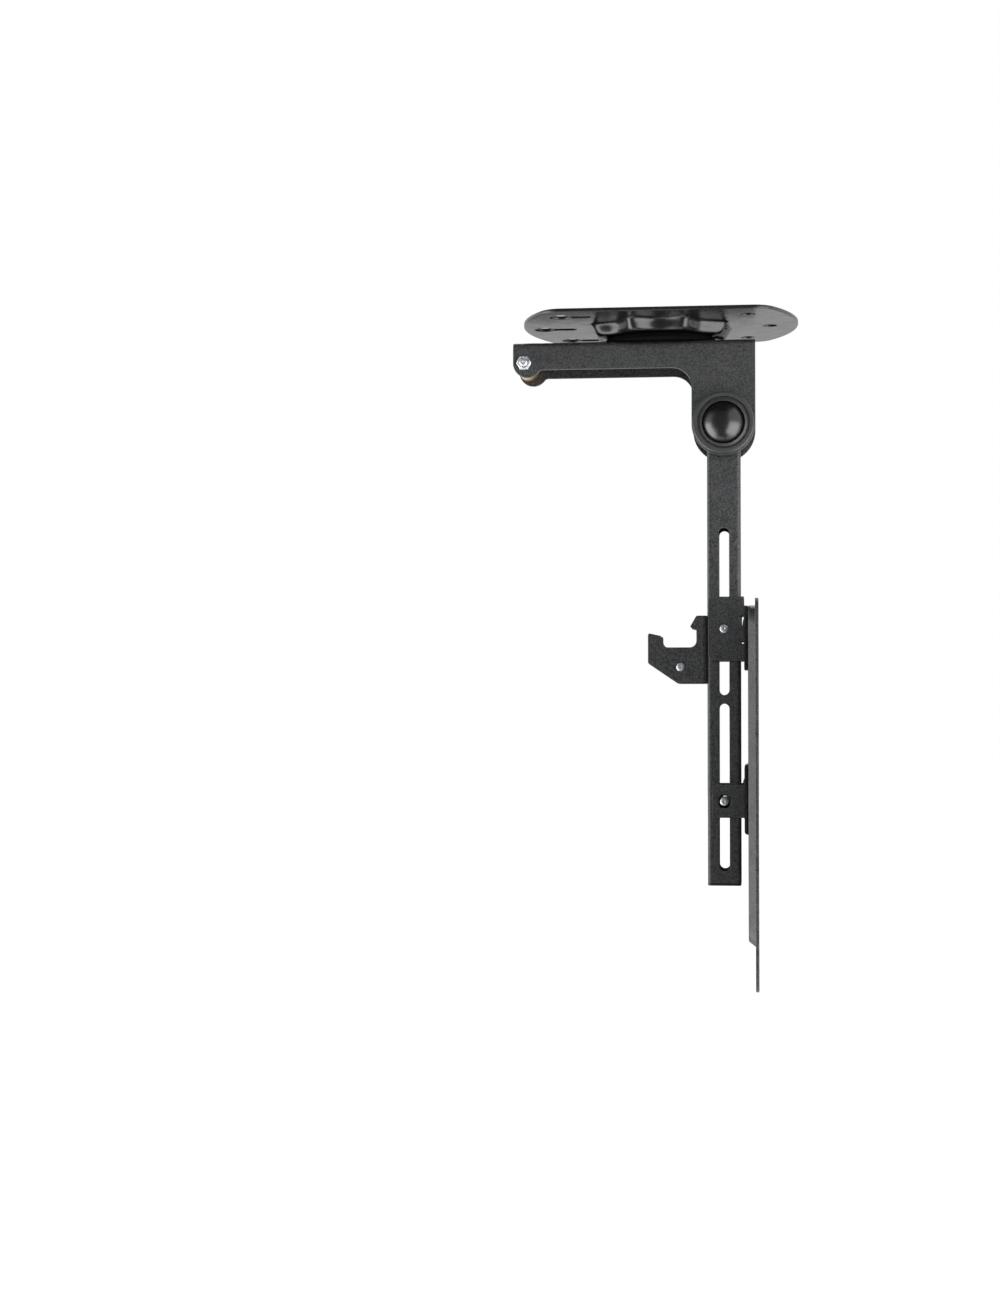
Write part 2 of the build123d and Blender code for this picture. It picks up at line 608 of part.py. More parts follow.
for name, bolt_z, cheek_h, cheek_reach, web_z, web_h in clamps:
    foot_r, top_r, web_r = clamp_corners[name]
    side_corners = (
        ((-cheek_reach, bolt_z - cheek_h / 2), foot_r),
        ((-cheek_reach, bolt_z + cheek_h / 2), top_r),
        ((clamp_fold_x, web_z - web_h / 2), web_r),
        ((clamp_fold_x, web_z + web_h / 2), web_r),
    )
    low_end = min(bolt_z - cheek_h / 2, web_z - web_h / 2)
    high_end = max(bolt_z + cheek_h / 2, web_z + web_h / 2)
    rivet_places = ((0, web_z - rivet_spacing / 2), (0, web_z + rivet_spacing / 2))

    with BuildPart() as clamp_bracket:
        with BuildSketch(above_view.offset(low_end)) as clamp_section:
            with Locations((-cheek_reach, 0)):
                Rectangle(cheek_reach + pan_back_x, 2 * clamp_half, align=(Align.MIN, Align.CENTER))
            fillet(clamp_section.vertices().group_by(Axis.X)[-1], radius=clamp_bend_r)
        extrude(amount=high_end - low_end)
        with BuildSketch(above_view.offset(low_end)) as post_gap:
            with Locations((-cheek_reach, 0)):
                Rectangle(cheek_reach + clamp_web_x, 2 * clamp_inner_half, align=(Align.MIN, Align.CENTER))
            fillet(post_gap.vertices().group_by(Axis.X)[-1], radius=clamp_inner_bend_r)
        extrude(amount=high_end - low_end, mode=Mode.SUBTRACT)
        with BuildSketch(side_view) as clamp_side:
            with Locations((-cheek_reach, bolt_z)):
                Rectangle(cheek_reach + clamp_fold_x, cheek_h, align=(Align.MIN, Align.CENTER))
            with Locations((clamp_fold_x, web_z)):
                Rectangle(web_side_w, web_h, align=(Align.MIN, Align.CENTER))
            for corner, corner_r in side_corners:
                fillet(clamp_side.vertices().sort_by_distance(corner)[0], radius=corner_r)
        extrude(amount=clamp_half, both=True, mode=Mode.INTERSECT)
        side_disc(0, bolt_z, -clamp_half, clamp_half, clamp_bore_r, Mode.SUBTRACT)
        with BuildSketch(screen_view.offset(clamp_web_x)):
            with Locations(*rivet_places):
                Circle(rivet_d / 2 + running_gap)
        extrude(amount=clamp_t, mode=Mode.SUBTRACT)
        if name == "lower":
            side_disc(0, bolt_z, -clamp_half, -post_half, lower_hole_d / 2, Mode.SUBTRACT)
        else:
            with BuildSketch(side_view):
                with Locations((relief_x, bolt_z + relief_slit_rise)):
                    SlotOverall(relief_slit_h, relief_slit_w, rotation=90)
                with Locations((relief_x, bolt_z - relief_hole_drop)):
                    Circle(relief_hole_d / 2)
            extrude(amount=clamp_half, both=True, mode=Mode.SUBTRACT)
    keep(clamp_bracket, f"{name}_clamp_bracket")

    with BuildPart() as clamp_bolt:
        side_hexagon(0, bolt_z, clamp_seat, clamp_seat + clamp_head_h, clamp_head_af)
        side_disc(0, bolt_z, -clamp_half - clamp_bolt_tail, clamp_seat, clamp_bolt_d / 2)
        chamfer(clamp_bolt.edges().group_by(Axis.Y)[0], length=clamp_bolt_d / 10)
    keep(clamp_bolt, f"{name}_clamp_bolt")

    with BuildPart() as clamp_washer:
        side_disc(0, bolt_z, clamp_half, clamp_seat, clamp_washer_d / 2)
        side_disc(0, bolt_z, clamp_half, clamp_seat, clamp_bore_r, Mode.SUBTRACT)
    keep(clamp_washer, f"{name}_clamp_washer")

    with BuildPart() as clamp_rivets:
        for head_x in (clamp_web_x - rivet_head_h, pan_back_x + screen_t):
            with BuildSketch(screen_view.offset(head_x)):
                with Locations(*rivet_places):
                    Circle(rivet_head_d / 2)
            extrude(amount=rivet_head_h)
        with BuildSketch(screen_view.offset(clamp_web_x)):
            with Locations(*rivet_places):
                Circle(rivet_d / 2)
        extrude(amount=clamp_t + screen_t)
    keep(clamp_rivets, f"{name}_clamp_rivets")

# Screen plate: one pressed sheet, its pan raised towards the post, with a square head at the upper web
taper = radians(pan_taper)
pan_sheet = screen_t / cos(taper) - screen_t * tan(taper)
pan_lean = pan_depth * tan(taper)
pan_top = upper_web_z + upper_web_h / 2
screen_size = large_pattern + 2 * screen_margin
screen_z = pan_top + pan_top_margin - screen_size / 2
pan_w = small_pattern - 2 * pan_side_margin
pan_h = screen_size - pan_top_margin - pan_bottom_margin
pan_view = Plane(
    origin=(pivot_x + screen_back_x, 0, pivot_z + pan_top - pan_h / 2), x_dir=(0, -1, 0), z_dir=(-1, 0, 0)
)


def pan_section(level, inset, head_inset):
    """Return a pan outline above the sheet's back; its sides and foot are moved in by one inset."""
    with BuildSketch(pan_view.offset(level)) as section:
        with Locations((0, (inset - head_inset) / 2)):
            RectangleRounded(pan_w - 2 * inset, pan_h - inset - head_inset, pan_corner_r - inset)
    return section.sketch


with BuildPart() as screen_plate:
    with BuildSketch(screen_view.offset(screen_back_x)):
        with Locations((0, screen_z)):
            RectangleRounded(screen_size, screen_size, screen_corner_r)
    extrude(amount=screen_t)
    screen_rims = screen_plate.edges().group_by(Axis.X)
    fillet(screen_rims[0] + screen_rims[-1], radius=screen_edge_r)
    pan_base = pan_section(0, 0, 0)
    pan_back = pan_section(pan_depth, pan_lean, 0)
    loft([pan_base, pan_back], ruled=True)
    pan_rim = screen_plate.faces().sort_by(Axis.X)[0].outer_wire()
    fillet(pan_rim.edges(), radius=pan_bend_r)
    pan_mouth = pan_section(-screen_t, pan_sheet, screen_t)
    pan_floor = pan_section(pan_depth - screen_t, pan_sheet + pan_lean, screen_t)
    loft([pan_mouth, pan_floor], ruled=True, mode=Mode.SUBTRACT)
    with BuildSketch(screen_view.offset(screen_back_x)):
        with Locations((0, screen_z)):
            for pattern in (small_pattern, middle_pattern):
                with GridLocations(pattern, pattern, 2, 2):
                    Circle(small_hole_d / 2)
            for pattern_h in (middle_pattern, large_pattern):
                with GridLocations(large_pattern, pattern_h, 2, 2):
                    Circle(large_hole_d / 2)
            with GridLocations(screen_size, notch_spacing, 2, 2):
                RectangleRounded(2 * notch_depth, notch_h, notch_r)
    extrude(amount=screen_t, mode=Mode.SUBTRACT)
    with BuildSketch(screen_view.offset(pan_back_x)):
        with Locations((0, upper_web_z), (0, lower_web_z)):
            with GridLocations(0, rivet_spacing, 1, 2):
                Circle(rivet_d / 2 + running_gap)
    extrude(amount=screen_t, mode=Mode.SUBTRACT)
keep(screen_plate, "screen_plate")
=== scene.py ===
"""Looks of the flip-down ceiling mount: finishes, detailed fasteners, pivot covers, stage and camera.

Metres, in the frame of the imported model: +Z up, the photograph is taken from the -Y side.
Sizes of pieces are written in millimetres and turned to metres by MM.
"""

import json
import math

import bpy
from mathutils import Euler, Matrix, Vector


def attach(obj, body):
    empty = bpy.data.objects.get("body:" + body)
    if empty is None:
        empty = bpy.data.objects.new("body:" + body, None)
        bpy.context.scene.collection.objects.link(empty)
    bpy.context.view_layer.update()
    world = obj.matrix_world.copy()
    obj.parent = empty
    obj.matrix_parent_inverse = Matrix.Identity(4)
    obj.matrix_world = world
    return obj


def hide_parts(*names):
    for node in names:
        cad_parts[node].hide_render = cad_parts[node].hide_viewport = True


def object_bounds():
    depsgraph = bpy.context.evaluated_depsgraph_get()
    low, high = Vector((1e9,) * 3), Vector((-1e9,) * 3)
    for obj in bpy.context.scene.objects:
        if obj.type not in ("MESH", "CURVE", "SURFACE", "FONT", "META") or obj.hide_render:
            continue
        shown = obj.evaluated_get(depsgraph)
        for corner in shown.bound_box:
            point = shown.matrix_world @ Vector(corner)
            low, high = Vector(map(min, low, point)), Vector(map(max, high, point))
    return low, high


MM = 0.001

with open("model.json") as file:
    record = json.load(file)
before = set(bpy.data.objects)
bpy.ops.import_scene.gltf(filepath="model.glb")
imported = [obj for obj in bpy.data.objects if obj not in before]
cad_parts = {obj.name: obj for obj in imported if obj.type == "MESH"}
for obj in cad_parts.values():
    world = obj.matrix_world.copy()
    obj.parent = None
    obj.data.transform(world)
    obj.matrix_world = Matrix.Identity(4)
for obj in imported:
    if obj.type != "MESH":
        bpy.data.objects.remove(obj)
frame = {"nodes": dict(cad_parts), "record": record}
cad_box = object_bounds()
nodes = frame["nodes"]
record = frame["record"]
slot_of = {part["node"]: part["material_slot"] for part in record["subparts"]}
body_of = {node: body for body, members in record["behaviour"]["bodies"].items() for node in members}


def linear(hex_colour):
    """Turn an sRGB hex colour into linear RGBA."""
    channels = [int(hex_colour[i : i + 2], 16) / 255 for i in (1, 3, 5)]
    return [c / 12.92 if c <= 0.04045 else ((c + 0.055) / 1.055) ** 2.4 for c in channels] + [1.0]


def add_node(tree, kind, values=(), links=(), **settings):
    """Add a node to a tree, set its properties and input values, and link its inputs."""
    added = tree.nodes.new(kind)
    for key, value in settings.items():
        setattr(added, key, value)
    for key, value in dict(values).items():
        added.inputs[key].default_value = value
    for key, socket in dict(links).items():
        tree.links.new(socket, added.inputs[key])
    return added


def new_material(name):
    """Start an empty node material; return it, its tree and its Object coordinates."""
    material = bpy.data.materials.new(name)
    material.use_nodes = True
    tree = material.node_tree
    tree.nodes.clear()
    coordinates = add_node(tree, "ShaderNodeTexCoord").outputs["Object"]
    return material, tree, coordinates


def close_material(tree, shader):
    """Send a shader to the material's output."""
    add_node(tree, "ShaderNodeOutputMaterial", links={"Surface": shader.outputs[0]})


def grain(tree, coordinates, size_mm, detail=2.0):
    """Noise whose features are about size_mm across."""
    values = {"Scale": 1 / (size_mm * MM), "Detail": detail}
    return add_node(tree, "ShaderNodeTexNoise", values, {"Vector": coordinates}).outputs["Fac"]


def spread(tree, socket, low, high, from_low=0.3, from_high=0.7):
    """Map a range of a socket, by default the middle of a noise, to the range from low to high."""
    values = {"From Min": from_low, "From Max": from_high, "To Min": low, "To Max": high}
    return add_node(tree, "ShaderNodeMapRange", values, {"Value": socket}).outputs["Result"]


def blend_colours(tree, amount, low, high):
    """Mix two colours, each a hex value or a socket, by a 0 to 1 socket."""
    mix = add_node(tree, "ShaderNodeMix", data_type="RGBA")
    tree.links.new(amount, mix.inputs[0])
    for colour, end in ((low, mix.inputs[6]), (high, mix.inputs[7])):
        if isinstance(colour, str):
            end.default_value = linear(colour)
        else:
            tree.links.new(colour, end)
    return mix.outputs[2]


EDGE_AGREEMENT = 0.80
FLAT_AGREEMENT = 0.97


def soft_edges(tree, radius_mm):
    """Normals rounded over at the edges, and a mask that is 1 on those edges and 0 on flat faces."""
    rounded = add_node(tree, "ShaderNodeBevel", {"Radius": radius_mm * MM}, samples=6).outputs["Normal"]
    flat = add_node(tree, "ShaderNodeNewGeometry").outputs["Normal"]
    links = {0: rounded, 1: flat}
    agreement = add_node(tree, "ShaderNodeVectorMath", links=links, operation="DOT_PRODUCT").outputs["Value"]
    return rounded, spread(tree, agreement, 1.0, 0.0, EDGE_AGREEMENT, FLAT_AGREEMENT)


def powder_coat(name, dark, light, edge_highlight, rough_low, rough_high, bump, edge_mm=0.6, ior=1.5):
    """Black epoxy powder coat on steel: a pebbled semi-matt skin, paler along its edges, where the paler
    colour is a painted edge highlight as well as the thinner coat there.
    """
    material, tree, coordinates = new_material(name)
    # The real grit is about 0.2 mm; it is drawn at 0.9 mm so that it still shows in the render.
    grit = grain(tree, coordinates, size_mm=0.9)
    patches = grain(tree, coordinates, size_mm=9.0)
    speckle = blend_colours(tree, spread(tree, grit, 0.0, 1.0), dark, light)
    # The edge colour along the edges is a painted highlight, partly also the thinner coat on them.
    rounded, edge_highlight_mask = soft_edges(tree, edge_mm)
    colour = blend_colours(tree, edge_highlight_mask, speckle, edge_highlight)
    values = {"Strength": bump, "Distance": 0.06 * MM}
    pebbles = add_node(tree, "ShaderNodeBump", values, {"Height": grit, "Normal": rounded})
    links = {
        "Base Color": colour,
        "Roughness": spread(tree, patches, rough_low, rough_high),
        "Normal": pebbles.outputs["Normal"],
    }
    close_material(tree, add_node(tree, "ShaderNodeBsdfPrincipled", {"IOR": ior}, links))
    return material


def zinc_plate():
    """Bright zinc plate on steel: a pale, slightly cloudy metal, dulled by its fine crystal bloom."""
    material, tree, coordinates = new_material("bright_zinc_plate")
    clouds = grain(tree, coordinates, size_mm=1.2)
    colour = blend_colours(tree, spread(tree, clouds, 0.0, 1.0), "#d6dae0", "#f0f2f5")
    rounded, _ = soft_edges(tree, radius_mm=0.15)
    values = {"Strength": 0.25, "Distance": 0.05 * MM}
    bloom = add_node(tree, "ShaderNodeBump", values, {"Height": clouds, "Normal": rounded})
    links = {
        "Base Color": colour,
        "Roughness": spread(tree, clouds, 0.46, 0.58),
        "Normal": bloom.outputs["Normal"],
    }
    close_material(tree, add_node(tree, "ShaderNodeBsdfPrincipled", {"Metallic": 1.0}, links))
    return material


def yellow_zinc():
    """Yellow chromated zinc plate: a brassy metal with a faint drift of tint along the sleeve."""
    material, tree, coordinates = new_material("yellow_zinc_plate")
    drift = grain(tree, coordinates, size_mm=14.0)
    colour = blend_colours(tree, spread(tree, drift, 0.0, 1.0), "#dcb470", "#e9cb8e")
    bloom = grain(tree, coordinates, size_mm=0.8)
    rounded, _ = soft_edges(tree, radius_mm=0.2)
    links = {
        "Base Color": colour,
        "Roughness": spread(tree, bloom, 0.18, 0.24),
        "Normal": rounded,
    }
    close_material(tree, add_node(tree, "ShaderNodeBsdfPrincipled", {"Metallic": 1.0}, links))
    return material


def moulded_plastic(name, dark, light, rough_low, rough_high, grit_mm, bump_mm, ior=1.5, specular=0.5):
    """Black moulded plastic: an even colour, with the mould's fine grit in its gloss."""
    material, tree, coordinates = new_material(name)
    grit = grain(tree, coordinates, grit_mm)
    patches = grain(tree, coordinates, size_mm=6.0)
    colour = blend_colours(tree, spread(tree, grit, 0.0, 1.0), dark, light)
    rounded, _ = soft_edges(tree, radius_mm=0.25)
    values = {"Strength": 0.2, "Distance": bump_mm * MM}
    bump = add_node(tree, "ShaderNodeBump", values, {"Height": grit, "Normal": rounded})
    links = {
        "Base Color": colour,
        "Roughness": spread(tree, patches, rough_low, rough_high),
        "Normal": bump.outputs["Normal"],
    }
    values = {"IOR": ior, "Specular IOR Level": specular}
    close_material(tree, add_node(tree, "ShaderNodeBsdfPrincipled", values, links))
    return material


finishes = {
    # The third colour of each coat is a painted edge highlight, partly also the thinner coat on edges.
    "powder_coat": powder_coat("black_powder_coat", "#121314", "#464748", "#5a5b5c", 0.40, 0.50, 0.5),
    "smooth_coat": powder_coat(
        "satin_black_coat", "#0d0e0f", "#131415", "#1c1d1e", 0.22, 0.28, 0.06, edge_mm=1.6, ior=1.6
    ),
    "zinc": zinc_plate(),
    "yellow_zinc": yellow_zinc(),
    # The pad finish is blacker and less glossy than real felt or nylon: painted shade for the deep gap
    # between arm and dish.
    "nylon": moulded_plastic(
        "black_fibre_pad_painted_shade", "#030303", "#060606", 0.80, 0.90, 0.5, 0.05, specular=0.06
    ),
    "cover_ring": moulded_plastic("satin_black_abs", "#303132", "#3a3b3c", 0.36, 0.44, 0.5, 0.03),
    "cover_cap": moulded_plastic(
        "polished_black_abs", "#0b0b0c", "#0e0e0f", 0.26, 0.30, 0.5, 0.004, ior=1.70
    ),
    "end_cap": moulded_plastic("matt_black_polyethylene", "#151617", "#1e1f20", 0.50, 0.60, 0.5, 0.04),
}

for node_name, slot in slot_of.items():
    node_mesh = nodes[node_name].data
    node_mesh.materials.clear()
    node_mesh.materials.append(finishes[slot])


# Modelling by hand: turned, hexagonal and combined pieces, shaped upright about Z and then set in place
TOWARDS_VIEWER = (math.pi / 2, 0, 0)
AWAY_FROM_VIEWER = (-math.pi / 2, 0, 0)
TO_THE_RIGHT = (0, math.pi / 2, 0)
UPRIGHT = (0, 0, 0)
SMOOTH_BELOW = math.radians(32)
MERGE_GAP = 0.004
HEX_LAND = 0.475
HEX_BLANK = 1.05
HEX_CONE = math.radians(30)
THREAD_DEPTH = 0.55
ROUND_OVER = 0.14
BORE_EASE = 0.1
OVERCUT = 1.0
LOCK_NUT_HEX = 0.52

# A bolt's end, as shares of its radius and of its round-over, from the rim to the dimple
BOLT_END = ((1.0, 1.0), (0.90, 0.55), (0.72, 0.22), (0.50, 0.06), (0.30, 0.0), (0.20, 0.25), (0.0, 0.40))

# A lock nut's rolled collar, as shares of the width across flats and of the height
NUT_COLLAR = (
    (0.0, 0.3),
    (0.470, 0.3),
    (0.470, 0.84),
    (0.455, 0.94),
    (0.425, 1.0),
    (0.390, 0.96),
    (0.370, 0.78),
    (0.0, 0.74),
)


def pick_only(piece):
    """Make a piece the only selected one, and the active one."""
    bpy.ops.object.select_all(action="DESELECT")
    piece.select_set(True)
    bpy.context.view_layer.objects.active = piece


def turned(name, outline, steps=64):
    """Turn an outline of (radius, height) points in mm about Z into a closed solid."""
    bpy.ops.object.select_all(action="DESELECT")
    bpy.ops.mesh.primitive_plane_add(size=MM, location=(0, 0, 0))
    piece = bpy.context.object
    piece.name = name
    piece.data.name = name
    bpy.ops.object.mode_set(mode="EDIT")
    bpy.ops.mesh.select_all(action="SELECT")
    bpy.ops.mesh.merge(type="CENTER")
    bpy.ops.transform.translate(value=(outline[0][0] * MM, 0, outline[0][1] * MM))
    for (radius, height), (next_radius, next_height) in zip(outline, outline[1:]):
        step = ((next_radius - radius) * MM, 0, (next_height - height) * MM)
        bpy.ops.mesh.extrude_region_move(TRANSFORM_OT_translate={"value": step})
    bpy.ops.mesh.select_all(action="SELECT")
    bpy.ops.mesh.spin(steps=steps, angle=2 * math.pi, center=(0, 0, 0), axis=(0, 0, 1))
    bpy.ops.mesh.select_all(action="SELECT")
    bpy.ops.mesh.remove_doubles(threshold=MERGE_GAP * MM)
    bpy.ops.mesh.normals_make_consistent(inside=False)
    bpy.ops.object.mode_set(mode="OBJECT")
    return piece


def combine(piece, tool, operation):
    """Join a tool to a piece, cut it out, or keep what both share; the tool is used up."""
    boolean = piece.modifiers.new("combine", "BOOLEAN")
    boolean.operation = operation
    boolean.object = tool
    boolean.solver = "EXACT"
    pick_only(piece)
    bpy.ops.object.modifier_apply(modifier=boolean.name)
    bpy.data.objects.remove(tool)


def hexagon(name, across, low, high, chamfered_low=False):
    """A hexagon from low to high in mm, a corner towards +X, its end corners turned to a 30 degree cone."""
    corner = across / math.sqrt(3)
    land = HEX_LAND * across
    blank = HEX_BLANK * corner
    drop = (blank - land) * math.tan(HEX_CONE)
    outline = [(0, high), (land, high), (blank, high - drop)]
    if chamfered_low:
        outline += [(blank, low + drop), (land, low), (0, low)]
    else:
        outline += [(blank, low), (0, low)]
    bpy.ops.object.select_all(action="DESELECT")
    bpy.ops.mesh.primitive_cylinder_add(
        vertices=6,
        radius=corner * MM,
        depth=(high - low + 2 * OVERCUT) * MM,
        location=(0, 0, (low + high) / 2 * MM),
        rotation=(0, 0, math.pi / 6),
    )
    piece = bpy.context.object
    piece.name = name
    piece.data.name = name
    bpy.ops.object.transform_apply(location=True, rotation=True, scale=True)
    combine(piece, turned("hexagon_blank", outline), "INTERSECT")
    return piece


def thread(radius, pitch, high, low):
    """Outline points of a thread's crests and roots, from high down to low, in mm."""
    turns = int((high - low) / pitch)
    points = []
    for turn in range(turns):
        crest = high - turn * pitch
        points += [(radius, crest), (radius - THREAD_DEPTH * pitch, crest - pitch / 2)]
    return points


def bolt(name, across, head_h, diameter, length, pitch, thread_length):
    """A hexagon bolt with its head above Z 0, a thread at its foot and a domed, dimpled end."""
    radius = diameter / 2
    foot = -length
    round_over = ROUND_OVER * diameter
    head = hexagon(name, across, 0, head_h)
    outline = [(0, head_h / 2), (radius, head_h / 2)]
    outline += thread(radius, pitch, foot + thread_length, foot + round_over)
    outline += [(out * radius, foot + up * round_over) for out, up in BOLT_END]
    combine(head, turned("shank", outline, 48), "UNION")
    return head


def bore_through(nut, diameter, height):
    """Bore a nut right through for a thread of this diameter."""
    radius = diameter / 2 + BORE_EASE
    top = height + OVERCUT
    drill = turned("drill", [(0, -OVERCUT), (radius, -OVERCUT), (radius, top), (0, top)])
    combine(nut, drill, "DIFFERENCE")


def lock_nut(name, across, height, diameter):
    """A hexagon nut with a wide rolled collar, a sunk insert and a bore right through, its seat at Z 0."""
    nut = hexagon(name, across, 0, LOCK_NUT_HEX * height, chamfered_low=True)
    outline = [(out * across, up * height) for out, up in NUT_COLLAR]
    combine(nut, turned("collar", outline), "UNION")
    bore_through(nut, diameter, height)
    return nut


def set_down(piece, turn, place):
    """Turn an upright piece, move its origin to a place in mm, and put both into its mesh."""
    piece.rotation_euler = turn
    piece.location = Vector(place) * MM
    pick_only(piece)
    bpy.ops.object.transform_apply(location=True, rotation=True, scale=True)


def copied(piece, name):
    """Copy a piece with a mesh of its own."""
    pick_only(piece)
    bpy.ops.object.duplicate(linked=False)
    copy = bpy.context.object
    copy.name = name
    copy.data.name = name
    return copy


def dress(piece, body, slot):
    """Smooth a finished piece's round faces, and give it its body and the finish of its slot."""
    pick_only(piece)
    bpy.ops.object.shade_smooth_by_angle(angle=SMOOTH_BELOW)
    piece.data.materials.clear()
    piece.data.materials.append(finishes[slot])
    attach(piece, body)


def stand_for(piece, node):
    """Hide a CAD node and let a finished piece take its place, with the node's body and the finish of its
    slot.
    """
    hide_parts(node)
    dress(piece, body_of[node], slot_of[node])


# Bolts and nuts: the CAD's places and sizes, in mm
PIVOT = (38.2, 0, -63.4)
ARM_HALF = 20.0
M5_ACROSS = 8.0
M5_HEAD_H = 3.5
M5 = 5.0
M5_PITCH = 0.8
M5_THREAD = 6.0

LATCH = (-81.5, -25.3)
LATCH_NUT_H = 4.0
LATCH_BOLT_LENGTH = 45.0
latch_bolt = bolt("latch_bolt_detailed", M5_ACROSS, M5_HEAD_H, M5, LATCH_BOLT_LENGTH, M5_PITCH, M5_THREAD)
set_down(latch_bolt, AWAY_FROM_VIEWER, (LATCH[0], ARM_HALF, LATCH[1]))
stand_for(latch_bolt, "latch_bolt")
latch_nut = lock_nut("latch_nut_detailed", M5_ACROSS, LATCH_NUT_H, M5)
set_down(latch_nut, TOWARDS_VIEWER, (LATCH[0], -ARM_HALF, LATCH[1]))
stand_for(latch_nut, "latch_nut")

HOOK_BOLT = (12.2, 15.0, -208.8)
HOOK_BOLT_LENGTH = 31.2
HOOK_BOLT_THREAD = 4.0
hook_bolt = bolt(
    "hook_bolt_detailed", M5_ACROSS, M5_HEAD_H, M5, HOOK_BOLT_LENGTH, M5_PITCH, HOOK_BOLT_THREAD
)
set_down(hook_bolt, AWAY_FROM_VIEWER, HOOK_BOLT)
stand_for(hook_bolt, "hook_bolt")

CLAMP_SEAT = 18.5
UPPER_BOLT_Z = -186.0
LOWER_BOLT_Z = -289.0
upper_clamp_bolt = bolt(
    "upper_clamp_bolt_detailed", M5_ACROSS, M5_HEAD_H, M5, 2 * CLAMP_SEAT, M5_PITCH, M5_THREAD
)
lower_clamp_bolt = copied(upper_clamp_bolt, "lower_clamp_bolt_detailed")
set_down(upper_clamp_bolt, AWAY_FROM_VIEWER, (PIVOT[0], CLAMP_SEAT, UPPER_BOLT_Z))
stand_for(upper_clamp_bolt, "upper_clamp_bolt")
set_down(lower_clamp_bolt, AWAY_FROM_VIEWER, (PIVOT[0], CLAMP_SEAT, LOWER_BOLT_Z))
stand_for(lower_clamp_bolt, "lower_clamp_bolt")

SWIVEL_ACROSS = 17.0
SWIVEL_HEAD_H = 6.4
SWIVEL_SEAT_Z = -7.2
SWIVEL_NUT_H = 6.0
SWIVEL_NUT_Z = -23.5
M10 = 10.0
M10_PITCH = 1.5
M10_THREAD = 3.0
swivel_length = SWIVEL_SEAT_Z - SWIVEL_NUT_Z
swivel_bolt = bolt(
    "swivel_bolt_detailed", SWIVEL_ACROSS, SWIVEL_HEAD_H, M10, swivel_length, M10_PITCH, M10_THREAD
)
set_down(swivel_bolt, UPRIGHT, (0, 0, SWIVEL_SEAT_Z))
stand_for(swivel_bolt, "swivel_bolt")
swivel_nut = hexagon("swivel_nut_detailed", SWIVEL_ACROSS, 0, SWIVEL_NUT_H, chamfered_low=True)
bore_through(swivel_nut, M10, SWIVEL_NUT_H)
set_down(swivel_nut, UPRIGHT, (0, 0, SWIVEL_NUT_Z))
stand_for(swivel_nut, "swivel_nut")


# Dust ring: black felt round the swivel's friction disc, on the arm and just clear of the dish; its finish,
# blacker and less glossy than real felt, is painted shade for the dark gap between arm and dish
DUST_RING_IN = 30.2
DUST_RING_OUT = 33.6
DUST_RING_FOOT = -12.9
DUST_RING_TOP = -9.5
DUST_RING_ROUND = 1.2
dust_ring_outline = [
    (DUST_RING_IN, DUST_RING_FOOT),
    (DUST_RING_OUT, DUST_RING_FOOT),
    (DUST_RING_OUT, DUST_RING_TOP - DUST_RING_ROUND),
    (DUST_RING_OUT - DUST_RING_ROUND, DUST_RING_TOP),
    (DUST_RING_IN, DUST_RING_TOP),
    (DUST_RING_IN, DUST_RING_FOOT),
]
dress(turned("swivel_dust_ring", dust_ring_outline, 96), "arm", "nylon")


# Rivets: a low dome on both sides of each clamp web and the pan
RIVET_FOOT_X = 49.1
RIVET_HEAD_H = 1.3
RIVET_HEAD_R = 4.5
RIVET_R = 2.5
RIVET_GRIP = 4.0
RIVET_PLACES = {"upper_clamp_rivets": (-183.4, -199.4), "lower_clamp_rivets": (-280.0, -296.0)}
DOME_STEPS = 6


def rivet_outline():
    """Half section of a rivet from the foot's dome to the far dome, in mm."""
    dome = []
    for step in range(DOME_STEPS + 1):
        angle = math.pi / 2 * step / DOME_STEPS
        dome.append((RIVET_HEAD_R * math.sin(angle), RIVET_HEAD_H * (1 - math.cos(angle))))
    end = 2 * RIVET_HEAD_H + RIVET_GRIP
    near_shank = (RIVET_R, RIVET_HEAD_H)
    far_shank = (RIVET_R, RIVET_HEAD_H + RIVET_GRIP)
    return dome + [near_shank, far_shank] + [(radius, end - height) for radius, height in reversed(dome)]


rivet = turned("rivet", rivet_outline(), 40)
for node_name, heights in RIVET_PLACES.items():
    pair = []
    for height in heights:
        pair.append(copied(rivet, node_name + "_domed"))
        set_down(pair[-1], TO_THE_RIGHT, (RIVET_FOOT_X, 0, height))
    pick_only(pair[0])
    pair[1].select_set(True)
    bpy.ops.object.join()
    stand_for(pair[0], node_name)
bpy.data.objects.remove(rivet)


# Pivot covers: a turned ring and a domed cap on each side of the arm
CAP_R = 12.4
CAP_BORE_R = 10.8
CAP_RIM = 4.6
CAP_TOP = 12.4
CAP_WALL = 1.6
RING_BORE_R = 12.7
RING_R = 18.3
RING_H = 6.0
RING_LIP = 5.7
RING_EDGE_R = 1.0
GROOVE_IN = 14.7
GROOVE_OUT = 15.6
GROOVE_LIP = 5.1
GROOVE_FLOOR = 4.0
EASE = 0.15
ARC_STEPS = 28
EDGE_STEPS = 6


def dome_arc(radius, rim_r, top):
    """Points along a dome from its rim up to the axis, in mm."""
    rim_angle = math.asin(rim_r / radius)
    angles = [rim_angle * (1 - step / ARC_STEPS) for step in range(ARC_STEPS + 1)]
    return [(radius * math.sin(angle), top - radius + radius * math.cos(angle)) for angle in angles]


dome_h = CAP_TOP - CAP_RIM
dome_r = (CAP_R**2 + dome_h**2) / (2 * dome_h)
cap_outline = [(CAP_BORE_R, 0), (CAP_R, 0)] + dome_arc(dome_r, CAP_R, CAP_TOP)
inner_arc = dome_arc(dome_r - CAP_WALL, CAP_BORE_R, CAP_TOP - CAP_WALL)
cap_outline += inner_arc[::-1] + [(CAP_BORE_R, 0)]

